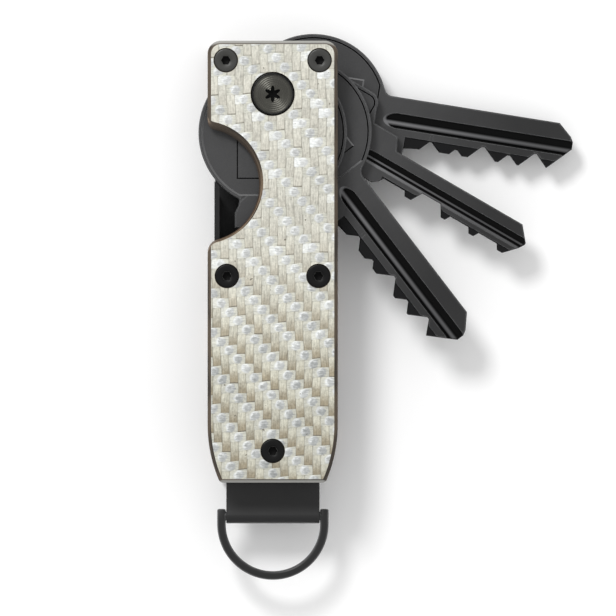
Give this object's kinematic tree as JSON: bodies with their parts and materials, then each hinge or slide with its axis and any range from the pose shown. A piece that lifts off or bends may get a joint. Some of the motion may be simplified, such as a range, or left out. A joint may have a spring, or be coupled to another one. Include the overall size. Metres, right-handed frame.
{
  "type": "key organiser",
  "caption": "Slim key case with composite covers over steel liners, keys that fan out on a pivot screw, a thumb notch, and a D-ring on a folded strap.",
  "frame": {"origin": "centre of the back cover's outer face, which lies on the surface", "axes": "+Y along the case from the ring to the pivot, +Z out of the front cover, +X to the side that the keys open to"},
  "size_m": [0.0683, 0.0997, 0.0162],
  "materials": {
    "cover_composite": "clear-coated twill weave in silver white and tan, brown machined edge",
    "black_steel": "satin black coated steel",
    "strap_black": "satin black coated sheet",
    "ring_black": "satin black coated bar",
    "screw_black": "black oxide",
    "pivot_gunmetal": "polished gunmetal",
    "key_black": "fine matte black nickel, glossy grooves"
  },
  "bodies": {
    "case": {"front_cover": "cover_composite", "back_cover": "cover_composite", "front_liner": "black_steel", "back_liner": "black_steel", "side_spine": "black_steel", "bottom_spacer_front": "black_steel", "bottom_spacer_rear": "black_steel", "ring_strap": "strap_black", "pivot_barrel": "pivot_gunmetal", "pivot_screw": "pivot_gunmetal", "pivot_washer_1": "black_steel", "pivot_washer_2": "black_steel", "pivot_washer_3": "black_steel", "pivot_washer_4": "black_steel", "pivot_washer_5": "black_steel", "front_screw_top_left": "screw_black", "front_screw_top_right": "screw_black", "front_screw_mid_left": "screw_black", "front_screw_mid_right": "screw_black", "front_screw_bottom": "screw_black", "rear_screw_top_left": "screw_black", "rear_screw_top_right": "screw_black", "rear_screw_mid_left": "screw_black", "rear_screw_mid_right": "screw_black", "rear_screw_bottom": "screw_black"},
    "key_folded": {"key_folded": "key_black"},
    "key_lower": {"key_lower": "key_black"},
    "key_middle": {"key_middle": "key_black"},
    "key_top": {"key_top": "key_black"},
    "d_ring": {"d_ring": "ring_black"}
  },
  "joints": [
    {"name": "key_folded_turn", "type": "hinge", "parent": "case", "child": "key_folded", "pos_m": [0, 0.0304, 0.01185], "axis": [0, 0, 1], "range_deg": [0, 290]},
    {"name": "key_lower_turn", "type": "hinge", "parent": "case", "child": "key_lower", "pos_m": [0, 0.0304, 0.00935], "axis": [0, 0, 1], "range_deg": [-37.5, 252.5]},
    {"name": "key_middle_turn", "type": "hinge", "parent": "case", "child": "key_middle", "pos_m": [0, 0.0304, 0.00685], "axis": [0, 0, 1], "range_deg": [-59.9, 230.1]},
    {"name": "key_top_turn", "type": "hinge", "parent": "case", "child": "key_top", "pos_m": [0, 0.0304, 0.00435], "axis": [0, 0, 1], "range_deg": [-80.85, 209.15]},
    {"name": "d_ring_swing", "type": "hinge", "parent": "case", "child": "d_ring", "pos_m": [0, -0.04635, 0.0081], "axis": [1, 0, 0], "range_deg": [-115, 115]}
  ]
}
